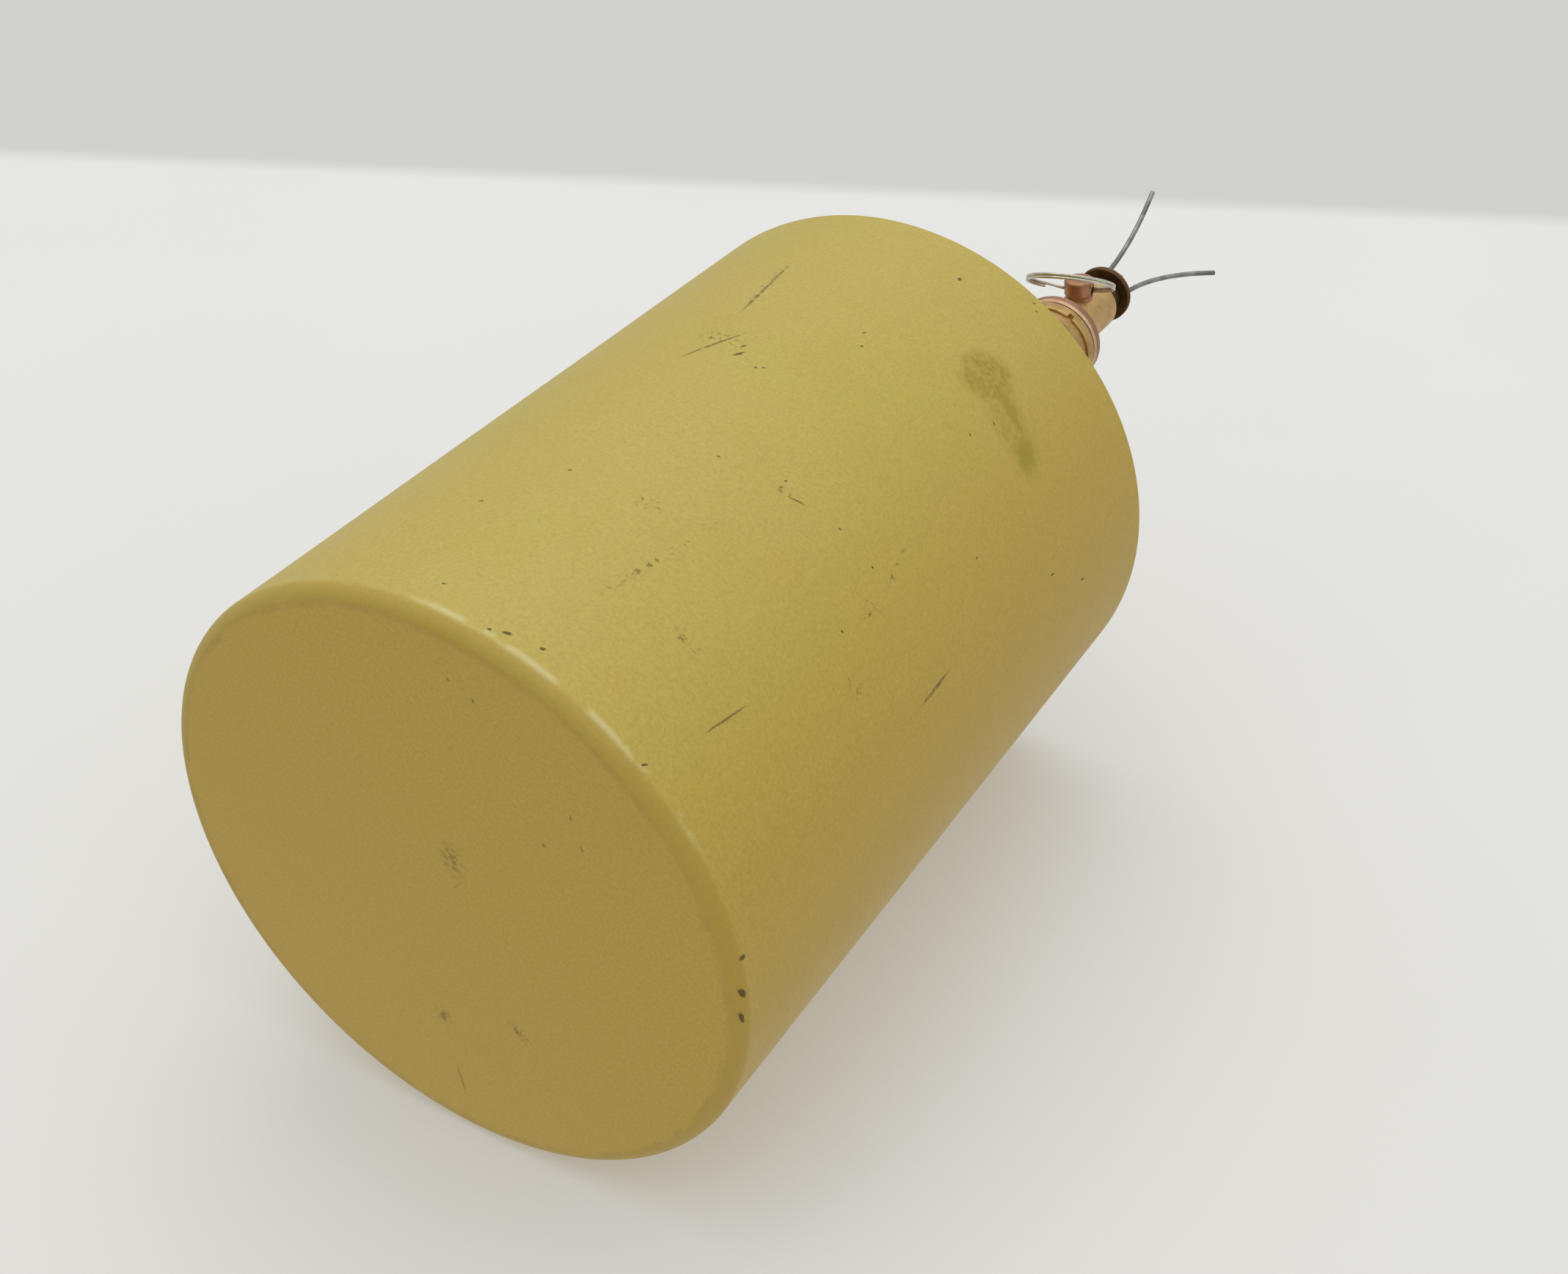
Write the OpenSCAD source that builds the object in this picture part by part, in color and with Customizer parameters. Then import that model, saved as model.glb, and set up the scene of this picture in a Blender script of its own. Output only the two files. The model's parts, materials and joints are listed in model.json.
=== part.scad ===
// Inert display canister: a drawn sheet-metal can, empty inside, with an
// off-centre turned fitting on its top that carries a ring and three wire prongs.
// Millimetres. +Z runs along the can from its flat base to its top.
// The origin is the centre of the flat base. The fitting stands off to -Y.

/* [Can] */
// Outside diameter of the can
can_d = 102; // [98:1:130]
// Height of the can from its base to its top plate
can_h = 138; // [120:1:160]
// Thickness of the drawn sheet
sheet = 1.2; // [1:0.1:1.4]
// Outside radius of the rounded base edge
base_edge_r = 2.6; // [2:0.1:5]
// How far the top plate's skirt reaches down inside the wall
skirt_h = 9; // [6:0.5:12]

/* [Fitting] */
// Distance of the fitting's axis from the can's axis, towards -Y
fitting_offset = 35; // [25:0.5:35]
// Height of the collar's top above the top plate
collar_top = 20; // [19:0.5:26]
// Diameter of the copper collar ring
collar_d = 16.8; // [16:0.1:18]
// Height of the copper collar ring
collar_h = 2.3; // [2:0.1:2.6]
// Diameter of the brass lock ring under the collar
lock_ring_d = 16.5; // [16:0.1:18]
// Height of the brass lock ring
lock_ring_h = 2.6; // [2:0.1:3]
// Diameter of the brass neck column
neck_d = 15.6; // [14:0.1:16]
// Length of the barrel above the collar
barrel_h = 16.2; // [15:0.1:20]
// Diameter of the barrel at the collar
barrel_foot_d = 9.2; // [8.8:0.1:9.6]
// Diameter of the barrel at its far end
barrel_end_d = 9.8; // [9.2:0.1:10.4]

/* [Head] */
// Gap between the barrel's end and the head disc
waist_h = 4; // [3:0.1:6]
// Diameter of the dark waist in that gap
waist_d = 7.6; // [7.2:0.1:8.4]
// Diameter of the head disc
disc_d = 10.9; // [10:0.1:12]
// Thickness of the head disc
disc_h = 1.4; // [1:0.1:2]
// Diameter of a prong's wire
prong_d = 0.95; // [0.8:0.05:1.2]
// Height of a prong's tip above the head disc
prong_h = 24; // [18:0.5:30]
// Distance of a prong's tip from the fitting's axis
prong_reach = 11.7; // [9:0.1:13]
// Distance that the prongs' tips are bent over to one side
prong_lean = 2.2; // [0:0.1:3]

/* [Ring and stud] */
// Direction of the stud around the fitting's axis
stud_az = 222; // [210:1:240]
// Height of the stud's axis above the collar
stud_z = 9; // [8:0.1:10]
// Diameter of the stud's round head
stud_d = 5.6; // [5.2:0.1:6.2]
// Distance of the stud's end face from the fitting's axis
stud_reach = 8.2; // [8:0.1:9]
// Slope of the cross hole that the ring goes through
hole_slope = 10; // [5:1:20]
// Diameter of that cross hole
hole_d = 2.4; // [2.2:0.1:2.6]
// Radius of the ring, to the middle of its wire
ring_r = 8; // [7:0.1:8.5]
// Diameter of the ring's wire, which makes two turns
ring_wire = 0.55; // [0.5:0.05:0.6]
// Swing of the ring from straight out of the stud
ring_swing = 58; // [50:1:65]

/* [Hidden] */
$fn = 96;

// running clearance on the radius where the head's spigot turns in the neck
turn_gap = 0.04;
// smallest step that keeps a cut clear of the face it starts from
eps = 0.01;

can_r = can_d / 2;
plate_top = can_h;
plate_bottom = can_h - sheet;

// the flanged bush clamps the top plate between its flange and a nut
bush_bore_r = 5;
bush_thread_r = 6.2;
bush_flange_r = 9.4;
bush_flange_h = 2;
seal_h = 0.6;
seal_inset = 0.4;
washer_h = 1;
nut_h = 5;
nut_flats = 17;
thread_past_nut = 1.5;
bush_tail = washer_h + nut_h + thread_past_nut;

// heights in the fitting, measured from the top plate
gasket_h = 0.3;
flange_z = seal_h;
neck_z = flange_z + bush_flange_h;
lock_z = collar_top - collar_h - gasket_h - lock_ring_h;
gasket_z = lock_z + lock_ring_h;
collar_z = gasket_z + gasket_h;
barrel_z = collar_top;
waist_z = barrel_z + barrel_h;
disc_z = waist_z + waist_h;
disc_top = disc_z + disc_h;

// the head's spigot runs down through the collar, the gasket and the lock ring
spigot_r = 3.6;
socket_floor = 8;
spigot_end = socket_floor + 0.4;
neck_socket_r = spigot_r + turn_gap;

// the spindle's tail in the barrel and its riveted end in the disc
spindle_r = 2.4;
spindle_depth = 5;
rivet_r = 1.6;

// the stud's own spigot, along the stud from the fitting's axis
stud_spigot_r = 1.4;
spigot_start = 2.6;
spigot_len = 2.1;
hole_reach = 5.95;

prong_root_r = 2.9;
prong_root_z = disc_top - 3.2;
prong_az = [90, 210, 330];
lean_az = 309;
prong_steps = 22;
prong_sides = 12;

// how much the ring's two turns run into each other, to make one solid
turns_touch = 0.02;

khaki = "darkkhaki";
brass = "goldenrod";
copper = "peru";
steel = "slategray";

// puts its children in the fitting's own frame, on the top plate
module at_fitting() {
    translate([0, -fitting_offset, plate_top]) children();
}

// a plain ring from height z, with outer radius r and inner radius bore
module ring_at(z, h, r, bore) {
    translate([0, 0, z]) difference() {
        cylinder(h = h, r = r);
        translate([0, 0, -eps]) cylinder(h = h + 2 * eps, r = bore);
    }
}

// drawn cup: flat base, rounded edge and straight wall in one sheet
module can_shell() {
    inner_edge = base_edge_r - sheet;
    color(khaki) rotate_extrude($fn = 180) difference() {
        union() {
            square([can_r - base_edge_r, base_edge_r]);
            translate([0, base_edge_r]) square([can_r, can_h - base_edge_r]);
            translate([can_r - base_edge_r, base_edge_r]) intersection() {
                circle(r = base_edge_r);
                translate([0, -base_edge_r]) square(base_edge_r);
            }
        }
        translate([-1, sheet + inner_edge]) square([can_r - sheet + 1, can_h]);
        translate([-1, sheet]) square([can_r - base_edge_r + 1, base_edge_r]);
        translate([can_r - base_edge_r, base_edge_r]) circle(r = inner_edge);
    }
}

// flat lid with a skirt that slips inside the wall
module top_plate() {
    skirt_r = can_r - sheet;
    color(khaki) difference() {
        union() {
            translate([0, 0, plate_bottom]) cylinder(h = sheet, r = skirt_r, $fn = 180);
            ring_at(can_h - skirt_h, skirt_h - sheet + eps, skirt_r, skirt_r - sheet);
        }
        translate([0, -fitting_offset, plate_bottom - 1])
            cylinder(h = sheet + 2, r = bush_thread_r);
    }
}

// bead of solder inside the can where the skirt ends on the wall
module top_solder() {
    bead_r = 1;
    wall_r = can_r - sheet;
    color("silver") rotate_extrude($fn = 180)
        polygon([[wall_r, can_h - skirt_h], [wall_r - bead_r, can_h - skirt_h],
            [wall_r, can_h - skirt_h - bead_r]]);
}

// flanged bush that passes through the top plate
module neck_bush() {
    color(brass) at_fitting() difference() {
        union() {
            translate([0, 0, flange_z]) cylinder(h = bush_flange_h, r = bush_flange_r);
            translate([0, 0, -sheet - bush_tail])
                cylinder(h = sheet + bush_tail + flange_z + eps, r = bush_thread_r);
        }
        translate([0, 0, -sheet - bush_tail - 1])
            cylinder(h = bush_tail + sheet + neck_z + 2, r = bush_bore_r);
    }
}

// fibre seal between the bush flange and the top plate
module bush_seal() {
    color("saddlebrown") at_fitting() ring_at(0, seal_h, bush_flange_r - seal_inset, bush_thread_r);
}

// steel washer under the top plate
module inner_washer() {
    color(steel) at_fitting()
        ring_at(-sheet - washer_h, washer_h, bush_flange_r, bush_thread_r);
}

// hexagon nut that clamps the bush from inside the can
module inner_nut() {
    color(brass) at_fitting() translate([0, 0, -sheet - washer_h - nut_h]) difference() {
        cylinder(h = nut_h, d = nut_flats / cos(30), $fn = 6);
        translate([0, 0, -1]) cylinder(h = nut_h + 2, r = bush_thread_r);
    }
}

// turned column that carries the rings and takes the head's spigot
module neck_column() {
    foot_groove = 0.5;
    groove_z = neck_z + 1;
    color(brass) at_fitting() difference() {
        union() {
            translate([0, 0, neck_z]) cylinder(h = lock_z - neck_z, d = neck_d);
            translate([0, 0, -sheet])
                cylinder(h = neck_z + sheet + eps, r = bush_bore_r);
        }
        translate([0, 0, socket_floor])
            cylinder(h = lock_z - socket_floor + 1, r = neck_socket_r);
        translate([0, 0, groove_z]) rotate_extrude()
            translate([neck_d / 2, 0]) circle(r = foot_groove, $fn = 24);
    }
}

// brass ring that locks the head on the column, with a tool slot on its rim
module lock_ring() {
    slot_w = 1.1;
    slot_deep = 0.7;
    slot_h = 0.45 * lock_ring_h;
    slot_from_stud = 32;
    color(brass) at_fitting() difference() {
        ring_at(lock_z, lock_ring_h, lock_ring_d / 2, neck_socket_r);
        for (side = [0, 180]) rotate([0, 0, stud_az + slot_from_stud + side])
            translate([lock_ring_d / 2 - slot_deep, -slot_w / 2, lock_z - eps])
                cube([slot_deep + 1, slot_w, slot_h]);
    }
}

// thin dark gasket that shows as a line under the collar
module joint_gasket() {
    inset = 0.45;
    color("black") at_fitting()
        ring_at(gasket_z, gasket_h, collar_d / 2 - inset, neck_socket_r);
}

// copper collar ring, chamfered where it meets the gasket
module collar_ring() {
    r = collar_d / 2;
    low_chamfer = 0.35;
    top_round = 0.6;
    color(copper) at_fitting() rotate_extrude()
        polygon([[spigot_r, collar_z], [r - low_chamfer, collar_z],
            [r, collar_z + low_chamfer], [r, collar_top - top_round],
            [r - top_round, collar_top], [spigot_r, collar_top]]);
}

// slightly flared brass barrel with its spigot
module barrel() {
    color(brass) difference() {
        barrel_outline();
        at_stud() translate([0, 0, spigot_start]) cylinder(h = spigot_len + 2, r = stud_spigot_r);
        at_fitting() translate([0, 0, waist_z - spindle_depth])
            cylinder(h = spindle_depth + 1, r = spindle_r);
    }
}

// narrow spindle between the barrel and the disc, where the prongs are rooted
module waist_spindle() {
    color("saddlebrown") at_fitting() difference() {
        union() {
            translate([0, 0, waist_z]) cylinder(h = waist_h, d = waist_d);
            translate([0, 0, waist_z - spindle_depth])
                cylinder(h = spindle_depth + eps, r = spindle_r);
            translate([0, 0, disc_z - eps]) cylinder(h = disc_h + eps, r = rivet_r);
        }
        prong_roots();
    }
}

// thin copper disc that caps the head
module head_disc() {
    r = disc_d / 2;
    low_edge = 0.15;
    top_edge = 0.35;
    color(copper) at_fitting() difference() {
        rotate_extrude()
            polygon([[rivet_r, disc_z], [r - low_edge, disc_z], [r, disc_z + low_edge],
                [r, disc_top - top_edge], [r - top_edge, disc_top], [rivet_r, disc_top]]);
        prong_roots();
    }
}

// straight holes that the three prongs stand in
module prong_roots() {
    hole_gap = 0.02;
    for (a = prong_az) rotate([0, 0, a]) translate([prong_root_r, 0, prong_root_z])
        cylinder(h = disc_top - prong_root_z + 1, d = prong_d + hole_gap, $fn = 24);
}

// point on a cubic Bezier curve
function bezier(p, t) = pow(1 - t, 3) * p[0] + 3 * pow(1 - t, 2) * t * p[1]
    + 3 * (1 - t) * t * t * p[2] + pow(t, 3) * p[3];

// tangent of the same curve
function bezier_slope(p, t) = 3 * pow(1 - t, 2) * (p[1] - p[0])
    + 6 * (1 - t) * t * (p[2] - p[1]) + 3 * t * t * (p[3] - p[2]);

// a prong's centre line, as distance from the axis and height
prong_line = [[prong_root_r, disc_top], [prong_root_r, disc_top + prong_h * 0.4],
    [prong_reach * 0.53, disc_top + prong_h * 0.72],
    [prong_reach, disc_top + prong_h]];

// how far a wire at height z is bent over, in the frame of the prong at az
function lean_at(z, az) = let (share = max(0, z - disc_top) / prong_h)
    prong_lean * share * share * [cos(lean_az - az), sin(lean_az - az)];

// one circle of points across the wire at c, square to the direction s
function wire_circle(c, s, az) = let (n = [s[1], -s[0]] / norm(s), lean = lean_at(c[1], az))
    [for (i = [0 : prong_sides - 1]) let (a = i * 360 / prong_sides,
        u = prong_d / 2 * cos(a), v = prong_d / 2 * sin(a))
        [c[0] + n[0] * u + lean[0], v + lean[1], c[1] + n[1] * u]];

// one bent wire: a straight root in the head, then the swept curve above it
module prong(az) {
    root = wire_circle([prong_root_r, prong_root_z], [0, 1], az);
    curve = [for (k = [0 : prong_steps]) let (t = k / prong_steps)
        wire_circle(bezier(prong_line, t), bezier_slope(prong_line, t), az)];
    points = concat(root, [for (circle = curve) for (p = circle) p]);
    last = (prong_steps + 1) * prong_sides;
    sides = [for (k = [0 : prong_steps]) for (i = [0 : prong_sides - 1])
        let (a = k * prong_sides + i, b = k * prong_sides + (i + 1) % prong_sides)
        [a, a + prong_sides, b + prong_sides, b]];
    root_cap = [for (i = [0 : prong_sides - 1]) i];
    tip_cap = [for (i = [prong_sides - 1 : -1 : 0]) last + i];
    color(steel) at_fitting() rotate([0, 0, az])
        polyhedron(points = points, faces = concat(sides, [root_cap, tip_cap]));
}

module prong_a() {
    prong(prong_az[0]);
}

module prong_b() {
    prong(prong_az[1]);
}

module prong_c() {
    prong(prong_az[2]);
}

// puts its children at the stud's cross hole, with X out of the stud
// and Y along the hole
module at_hole() {
    at_fitting() translate([0, 0, barrel_z + stud_z]) rotate([0, 0, stud_az])
        translate([hole_reach, 0, 0]) rotate([hole_slope, 0, 0]) children();
}

// puts its children on the stud's axis, with Z out of the barrel
module at_stud() {
    at_fitting() translate([0, 0, barrel_z + stud_z]) rotate([0, 0, stud_az])
        rotate([0, 90, 0]) children();
}

// round copper stud with a domed end, cross-drilled for the ring
module ring_stud() {
    r = stud_d / 2;
    edge = 0.6;
    dome = 0.15;
    seat_sink = 0.6;
    seat = barrel_foot_d / 2 - seat_sink;
    color(copper) union() {
        difference() {
            at_stud() rotate_extrude()
                polygon([[0, seat], [r, seat], [r, stud_reach - edge],
                    [r - edge, stud_reach - dome], [0, stud_reach]]);
            at_hole() rotate([90, 0, 0]) cylinder(h = 4 * stud_d, d = hole_d, center = true);
            barrel_outline();
        }
        at_stud() translate([0, 0, spigot_start]) cylinder(h = spigot_len, r = stud_spigot_r);
    }
}

// the barrel's own flared shape, which the stud's shoulder is shaped to
module barrel_outline() {
    foot_r = barrel_foot_d / 2;
    end_r = barrel_end_d / 2;
    end_edge = 0.3;
    at_fitting() rotate_extrude()
        polygon([[0, spigot_end], [spigot_r, spigot_end], [spigot_r, barrel_z], [foot_r, barrel_z],
            [end_r, waist_z - end_edge], [end_r - end_edge, waist_z], [0, waist_z]]);
}

// split ring: two turns of wire side by side, hanging from the stud
module pull_ring() {
    color("silver") at_hole() rotate([0, ring_swing, 0]) translate([ring_r, 0, 0])
        for (side = [-1, 1]) translate([0, 0, side * ring_wire / 2])
            rotate_extrude() translate([ring_r, 0])
                circle(d = ring_wire + turns_touch, $fn = 24);
}

can_shell();
top_plate();
top_solder();
neck_bush();
bush_seal();
inner_washer();
inner_nut();
neck_column();
lock_ring();
joint_gasket();
collar_ring();
barrel();
waist_spindle();
head_disc();
prong_a();
prong_b();
prong_c();
ring_stud();
pull_ring();
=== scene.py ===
# Inert display canister: the looks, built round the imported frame.
# Everything is in metres, in the frame's own axes.
import json
import math

import bpy
from mathutils import Matrix, Vector, noise


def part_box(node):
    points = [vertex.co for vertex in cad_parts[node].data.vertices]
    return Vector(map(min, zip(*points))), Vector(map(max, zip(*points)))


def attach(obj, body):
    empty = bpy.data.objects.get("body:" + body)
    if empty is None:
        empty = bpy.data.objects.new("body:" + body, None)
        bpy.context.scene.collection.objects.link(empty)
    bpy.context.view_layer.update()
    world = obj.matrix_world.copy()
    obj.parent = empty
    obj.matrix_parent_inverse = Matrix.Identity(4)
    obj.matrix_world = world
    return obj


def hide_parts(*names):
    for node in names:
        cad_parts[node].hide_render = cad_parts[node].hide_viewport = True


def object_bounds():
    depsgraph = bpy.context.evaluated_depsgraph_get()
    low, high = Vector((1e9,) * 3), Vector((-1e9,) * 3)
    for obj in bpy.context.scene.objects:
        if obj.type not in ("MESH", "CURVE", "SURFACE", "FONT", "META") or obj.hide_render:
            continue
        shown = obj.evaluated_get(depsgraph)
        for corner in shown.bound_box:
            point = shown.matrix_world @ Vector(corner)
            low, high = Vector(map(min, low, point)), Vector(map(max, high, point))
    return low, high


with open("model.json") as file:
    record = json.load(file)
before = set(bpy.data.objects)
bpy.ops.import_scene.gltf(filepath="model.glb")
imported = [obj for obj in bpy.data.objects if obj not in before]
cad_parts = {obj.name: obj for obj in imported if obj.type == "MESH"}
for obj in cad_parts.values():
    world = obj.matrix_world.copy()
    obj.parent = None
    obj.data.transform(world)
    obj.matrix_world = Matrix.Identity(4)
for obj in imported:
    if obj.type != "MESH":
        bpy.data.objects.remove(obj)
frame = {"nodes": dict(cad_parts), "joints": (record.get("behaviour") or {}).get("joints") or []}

cad_low, cad_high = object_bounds()
MM = 0.001
TURN = 2 * math.pi


# ---------- sizes read from the frame ----------

def centre_of(node):
    """Middle of a CAD node's box."""
    low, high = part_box(node)
    return (low + high) / 2


def radius_of(node):
    """Half a round CAD node's width along X."""
    low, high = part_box(node)
    return (high.x - low.x) / 2


def bottom_of(node):
    """Height of a CAD node's lowest point."""
    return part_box(node)[0].z


def top_of(node):
    """Height of a CAD node's highest point."""
    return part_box(node)[1].z


def joint(name):
    """A joint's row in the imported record."""
    return next(j for j in frame["joints"] if j["name"] == name)


can_r = radius_of("can_shell")
can_h = top_of("can_shell")
plate_r = radius_of("top_plate")
sheet = can_r - plate_r
fitting = Vector((0, centre_of("collar_ring").y, 0))
ring_pivot = Vector(joint("ring_swing")["pos_m"])
ring_axis = Vector(joint("ring_swing")["axis"]).normalized()
stud_out = Vector((ring_pivot.x, ring_pivot.y - fitting.y, 0)).normalized()
stud_az = math.atan2(stud_out.y, stud_out.x)

# sizes that the boxes don't give
BASE_EDGE = 2.6 * MM
SKIRT = 9 * MM
THREAD_R = 6.2 * MM
BORE_R = 5 * MM
SPIGOT_R = 3.6 * MM
STUD_R = 2.8 * MM
HOLE_R = 1.2 * MM
RING_WIRE = 0.55 * MM
PRONG_R = 0.475 * MM
PRONG_ROOT = 2.9 * MM
PRONG_REACH = 11.7 * MM
PRONG_LEAN = 2.2 * MM
LEAN_AZ = math.radians(309)
SLOT_FROM_STUD = math.radians(32)
COLLAR_RECESS = 0.12 * MM

# how finely round parts are divided, and how far a wire's ends are domed
TURNED_SIDES = 128
CAN_SIDES = 256
DOME_STEPS = 4
DOME_SHARE = 0.35
PRONG_STEPS = 40
RING_STEPS = 240


# ---------- mesh helpers ----------

def rounded(corners, arc_steps=6):
    """Outline through (r, z, radius) corners, each corner rounded by an arc of its radius."""
    points = []
    for i, (r, z, radius) in enumerate(corners):
        here = Vector((r, z))
        if radius == 0:
            points.append(here)
            continue
        back = (Vector(corners[i - 1][:2]) - here).normalized()
        ahead = (Vector(corners[(i + 1) % len(corners)][:2]) - here).normalized()
        half = back.angle(ahead) / 2
        middle = here + (back + ahead).normalized() * radius / math.sin(half)
        first = here + back * radius / math.tan(half) - middle
        last = here + ahead * radius / math.tan(half) - middle
        for k in range(arc_steps + 1):
            step = first.lerp(last, k / arc_steps).normalized()
            points.append(middle + step * radius)
    return points


def divided(points, longest):
    """The same outline with no stretch longer than longest."""
    out = [points[0]]
    for a, b in zip(points, points[1:]):
        count = max(1, math.ceil((b - a).length / longest))
        out += [a.lerp(b, k / count) for k in range(1, count + 1)]
    return out


def lathe(outline, sides=144, closed=False):
    """Vertices and faces of an outline of (r, z) turned round Z. Points at r = 0 are poles."""
    verts = []
    rows = []
    for r, z in outline:
        if r < 1e-9:
            rows.append([len(verts)] * sides)
            verts.append(Vector((0, 0, z)))
            continue
        rows.append(list(range(len(verts), len(verts) + sides)))
        angles = [k * TURN / sides for k in range(sides)]
        verts += [Vector((r * math.cos(a), r * math.sin(a), z)) for a in angles]
    if closed:
        rows.append(rows[0])
    faces = []
    for low, high in zip(rows, rows[1:]):
        for k in range(sides):
            n = (k + 1) % sides
            face = dict.fromkeys([low[k], low[n], high[n], high[k]])
            faces.append(tuple(face))
    return verts, faces


def sweep(path, radius, sides=20):
    """Vertices and faces of a round wire along a path, with slightly domed ends."""
    tangents = [(path[min(i + 1, len(path) - 1)] - path[max(i - 1, 0)]).normalized()
                for i in range(len(path))]
    across = tangents[0].orthogonal().normalized()
    rings = []
    for point, along in zip(path, tangents):
        across = (across - along * across.dot(along)).normalized()
        rings.append((point, across.copy(), along.cross(across), radius))
    dome = DOME_SHARE * radius

    def cap(ring, outward):
        point, u, v, _ = ring
        turns = [(k + 1) * TURN / 4 / (DOME_STEPS + 1) for k in range(DOME_STEPS)]
        return [(point + outward * dome * math.sin(a), u, v,
                 radius - dome + dome * math.cos(a)) for a in turns]

    rings = cap(rings[0], -tangents[0])[::-1] + rings + cap(rings[-1], tangents[-1])
    verts = [p + (u * math.cos(k * TURN / sides) + v * math.sin(k * TURN / sides)) * r
             for p, u, v, r in rings for k in range(sides)]
    faces = []
    for i in range(len(rings) - 1):
        for k in range(sides):
            n = (k + 1) % sides
            faces.append((i * sides + k, i * sides + n, (i + 1) * sides + n, (i + 1) * sides + k))
    last = (len(rings) - 1) * sides
    faces.append(tuple(range(sides))[::-1])
    faces.append(tuple(range(last, last + sides)))
    return verts, faces


def make_mesh(name, verts, faces, crease=35):
    """A smooth-shaded object whose edges are sharp above the crease angle, in degrees."""
    mesh = bpy.data.meshes.new(name)
    mesh.from_pydata([tuple(v) for v in verts], [], faces)
    mesh.validate()
    mesh.shade_smooth()
    mesh.set_sharp_from_angle(angle=math.radians(crease))
    piece = bpy.data.objects.new(name, mesh)
    bpy.context.scene.collection.objects.link(piece)
    return piece


def moved(verts, matrix):
    """The vertices moved by a matrix."""
    return [matrix @ v for v in verts]


def cut(piece, *cutters, crease=35):
    """Takes each cutter away from the piece and removes the cutters."""
    for cutter in cutters:
        tool = piece.modifiers.new("cut", "BOOLEAN")
        tool.operation = "DIFFERENCE"
        tool.solver = "EXACT"
        tool.object = cutter
    bpy.context.view_layer.update()
    graph = bpy.context.evaluated_depsgraph_get()
    result = bpy.data.meshes.new_from_object(piece.evaluated_get(graph))
    piece.modifiers.clear()
    piece.data = result
    result.shade_smooth()
    result.set_sharp_from_angle(angle=math.radians(crease))
    for cutter in cutters:
        bpy.data.objects.remove(cutter)
    return piece


def finished(piece, node, body, material):
    """Gives a new piece its material and body, in place of the CAD node."""
    piece.data.materials.clear()
    piece.data.materials.append(material)
    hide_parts(node)
    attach(piece, body)
    return piece


# ---------- node helpers ----------

class Nodes:
    """A material's node tree, with short calls for the nodes that the materials share."""

    def __init__(self, name):
        self.material = bpy.data.materials.new(name)
        self.material.use_nodes = True
        self.tree = self.material.node_tree
        self.shader = self.tree.nodes["Principled BSDF"]
        self.place = self.tree.nodes.new("ShaderNodeTexCoord").outputs["Object"]

    def node(self, kind, **settings):
        made = self.tree.nodes.new(kind)
        for key, value in settings.items():
            setattr(made, key, value)
        return made

    def put(self, socket, value):
        """Links an output to a socket, or sets the socket's own value."""
        if isinstance(value, bpy.types.NodeSocket):
            self.tree.links.new(value, socket)
        else:
            socket.default_value = value

    def math(self, operation, a, b=0.0):
        made = self.node("ShaderNodeMath", operation=operation)
        self.put(made.inputs[0], a)
        self.put(made.inputs[1], b)
        return made.outputs[0]

    def vector(self, operation, a, b):
        made = self.node("ShaderNodeVectorMath", operation=operation)
        self.put(made.inputs[0], a)
        self.put(made.inputs[1], b)
        return made.outputs["Vector"]

    def parts(self, vector):
        made = self.node("ShaderNodeSeparateXYZ")
        self.put(made.inputs[0], vector)
        return made.outputs

    def joined(self, x, y):
        """A vector of x and y, with 0 for z."""
        made = self.node("ShaderNodeCombineXYZ")
        for socket, value in zip(made.inputs, (x, y)):
            self.put(socket, value)
        return made.outputs[0]

    def ramp(self, value, low, high):
        """0 below low and 1 above high, or the other way round if low is above high."""
        made = self.node("ShaderNodeMapRange", clamp=True)
        made.interpolation_type = "SMOOTHSTEP"
        self.put(made.inputs[0], value)
        flipped = low > high
        made.inputs[1].default_value = min(low, high)
        made.inputs[2].default_value = max(low, high)
        made.inputs[3].default_value = 1.0 if flipped else 0.0
        made.inputs[4].default_value = 0.0 if flipped else 1.0
        return made.outputs[0]

    def noise(self, size, detail=3.0, rough=0.5, stretch=(1, 1, 1)):
        """Noise whose features are about size metres across."""
        scaled = self.vector("MULTIPLY", self.place, stretch)
        made = self.node("ShaderNodeTexNoise")
        made.inputs["Scale"].default_value = 1 / size
        made.inputs["Detail"].default_value = detail
        made.inputs["Roughness"].default_value = rough
        self.put(made.inputs["Vector"], scaled)
        return made.outputs["Fac"]

    def mix(self, share, a, b):
        made = self.node("ShaderNodeMix", data_type="RGBA")
        self.put(made.inputs["Factor"], share)
        self.put(made.inputs[6], a if isinstance(a, bpy.types.NodeSocket) else (*a, 1))
        self.put(made.inputs[7], b if isinstance(b, bpy.types.NodeSocket) else (*b, 1))
        return made.outputs[2]

    def bump(self, height, depth, strength=1.0):
        made = self.node("ShaderNodeBump")
        made.inputs["Strength"].default_value = strength
        made.inputs["Distance"].default_value = depth
        self.put(made.inputs["Height"], height)
        self.tree.links.new(made.outputs[0], self.shader.inputs["Normal"])

    def finish(self, colour, rough, metallic=0.0, specular=0.5):
        self.put(self.shader.inputs["Base Color"], colour)
        self.put(self.shader.inputs["Roughness"], rough)
        self.shader.inputs["Metallic"].default_value = metallic
        self.shader.inputs["Specular IOR Level"].default_value = specular
        return self.material


# ---------- khaki paint, with its wear, painted shade and a painted highlight ---

KHAKI = (0.528, 0.405, 0.076)
# KHAKI_BROWN serves the random brown clouds and also the painted shade on the base and the shaded
# side
KHAKI_BROWN = (0.522, 0.332, 0.038)
KHAKI_GREEN = (0.505, 0.407, 0.064)
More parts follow.
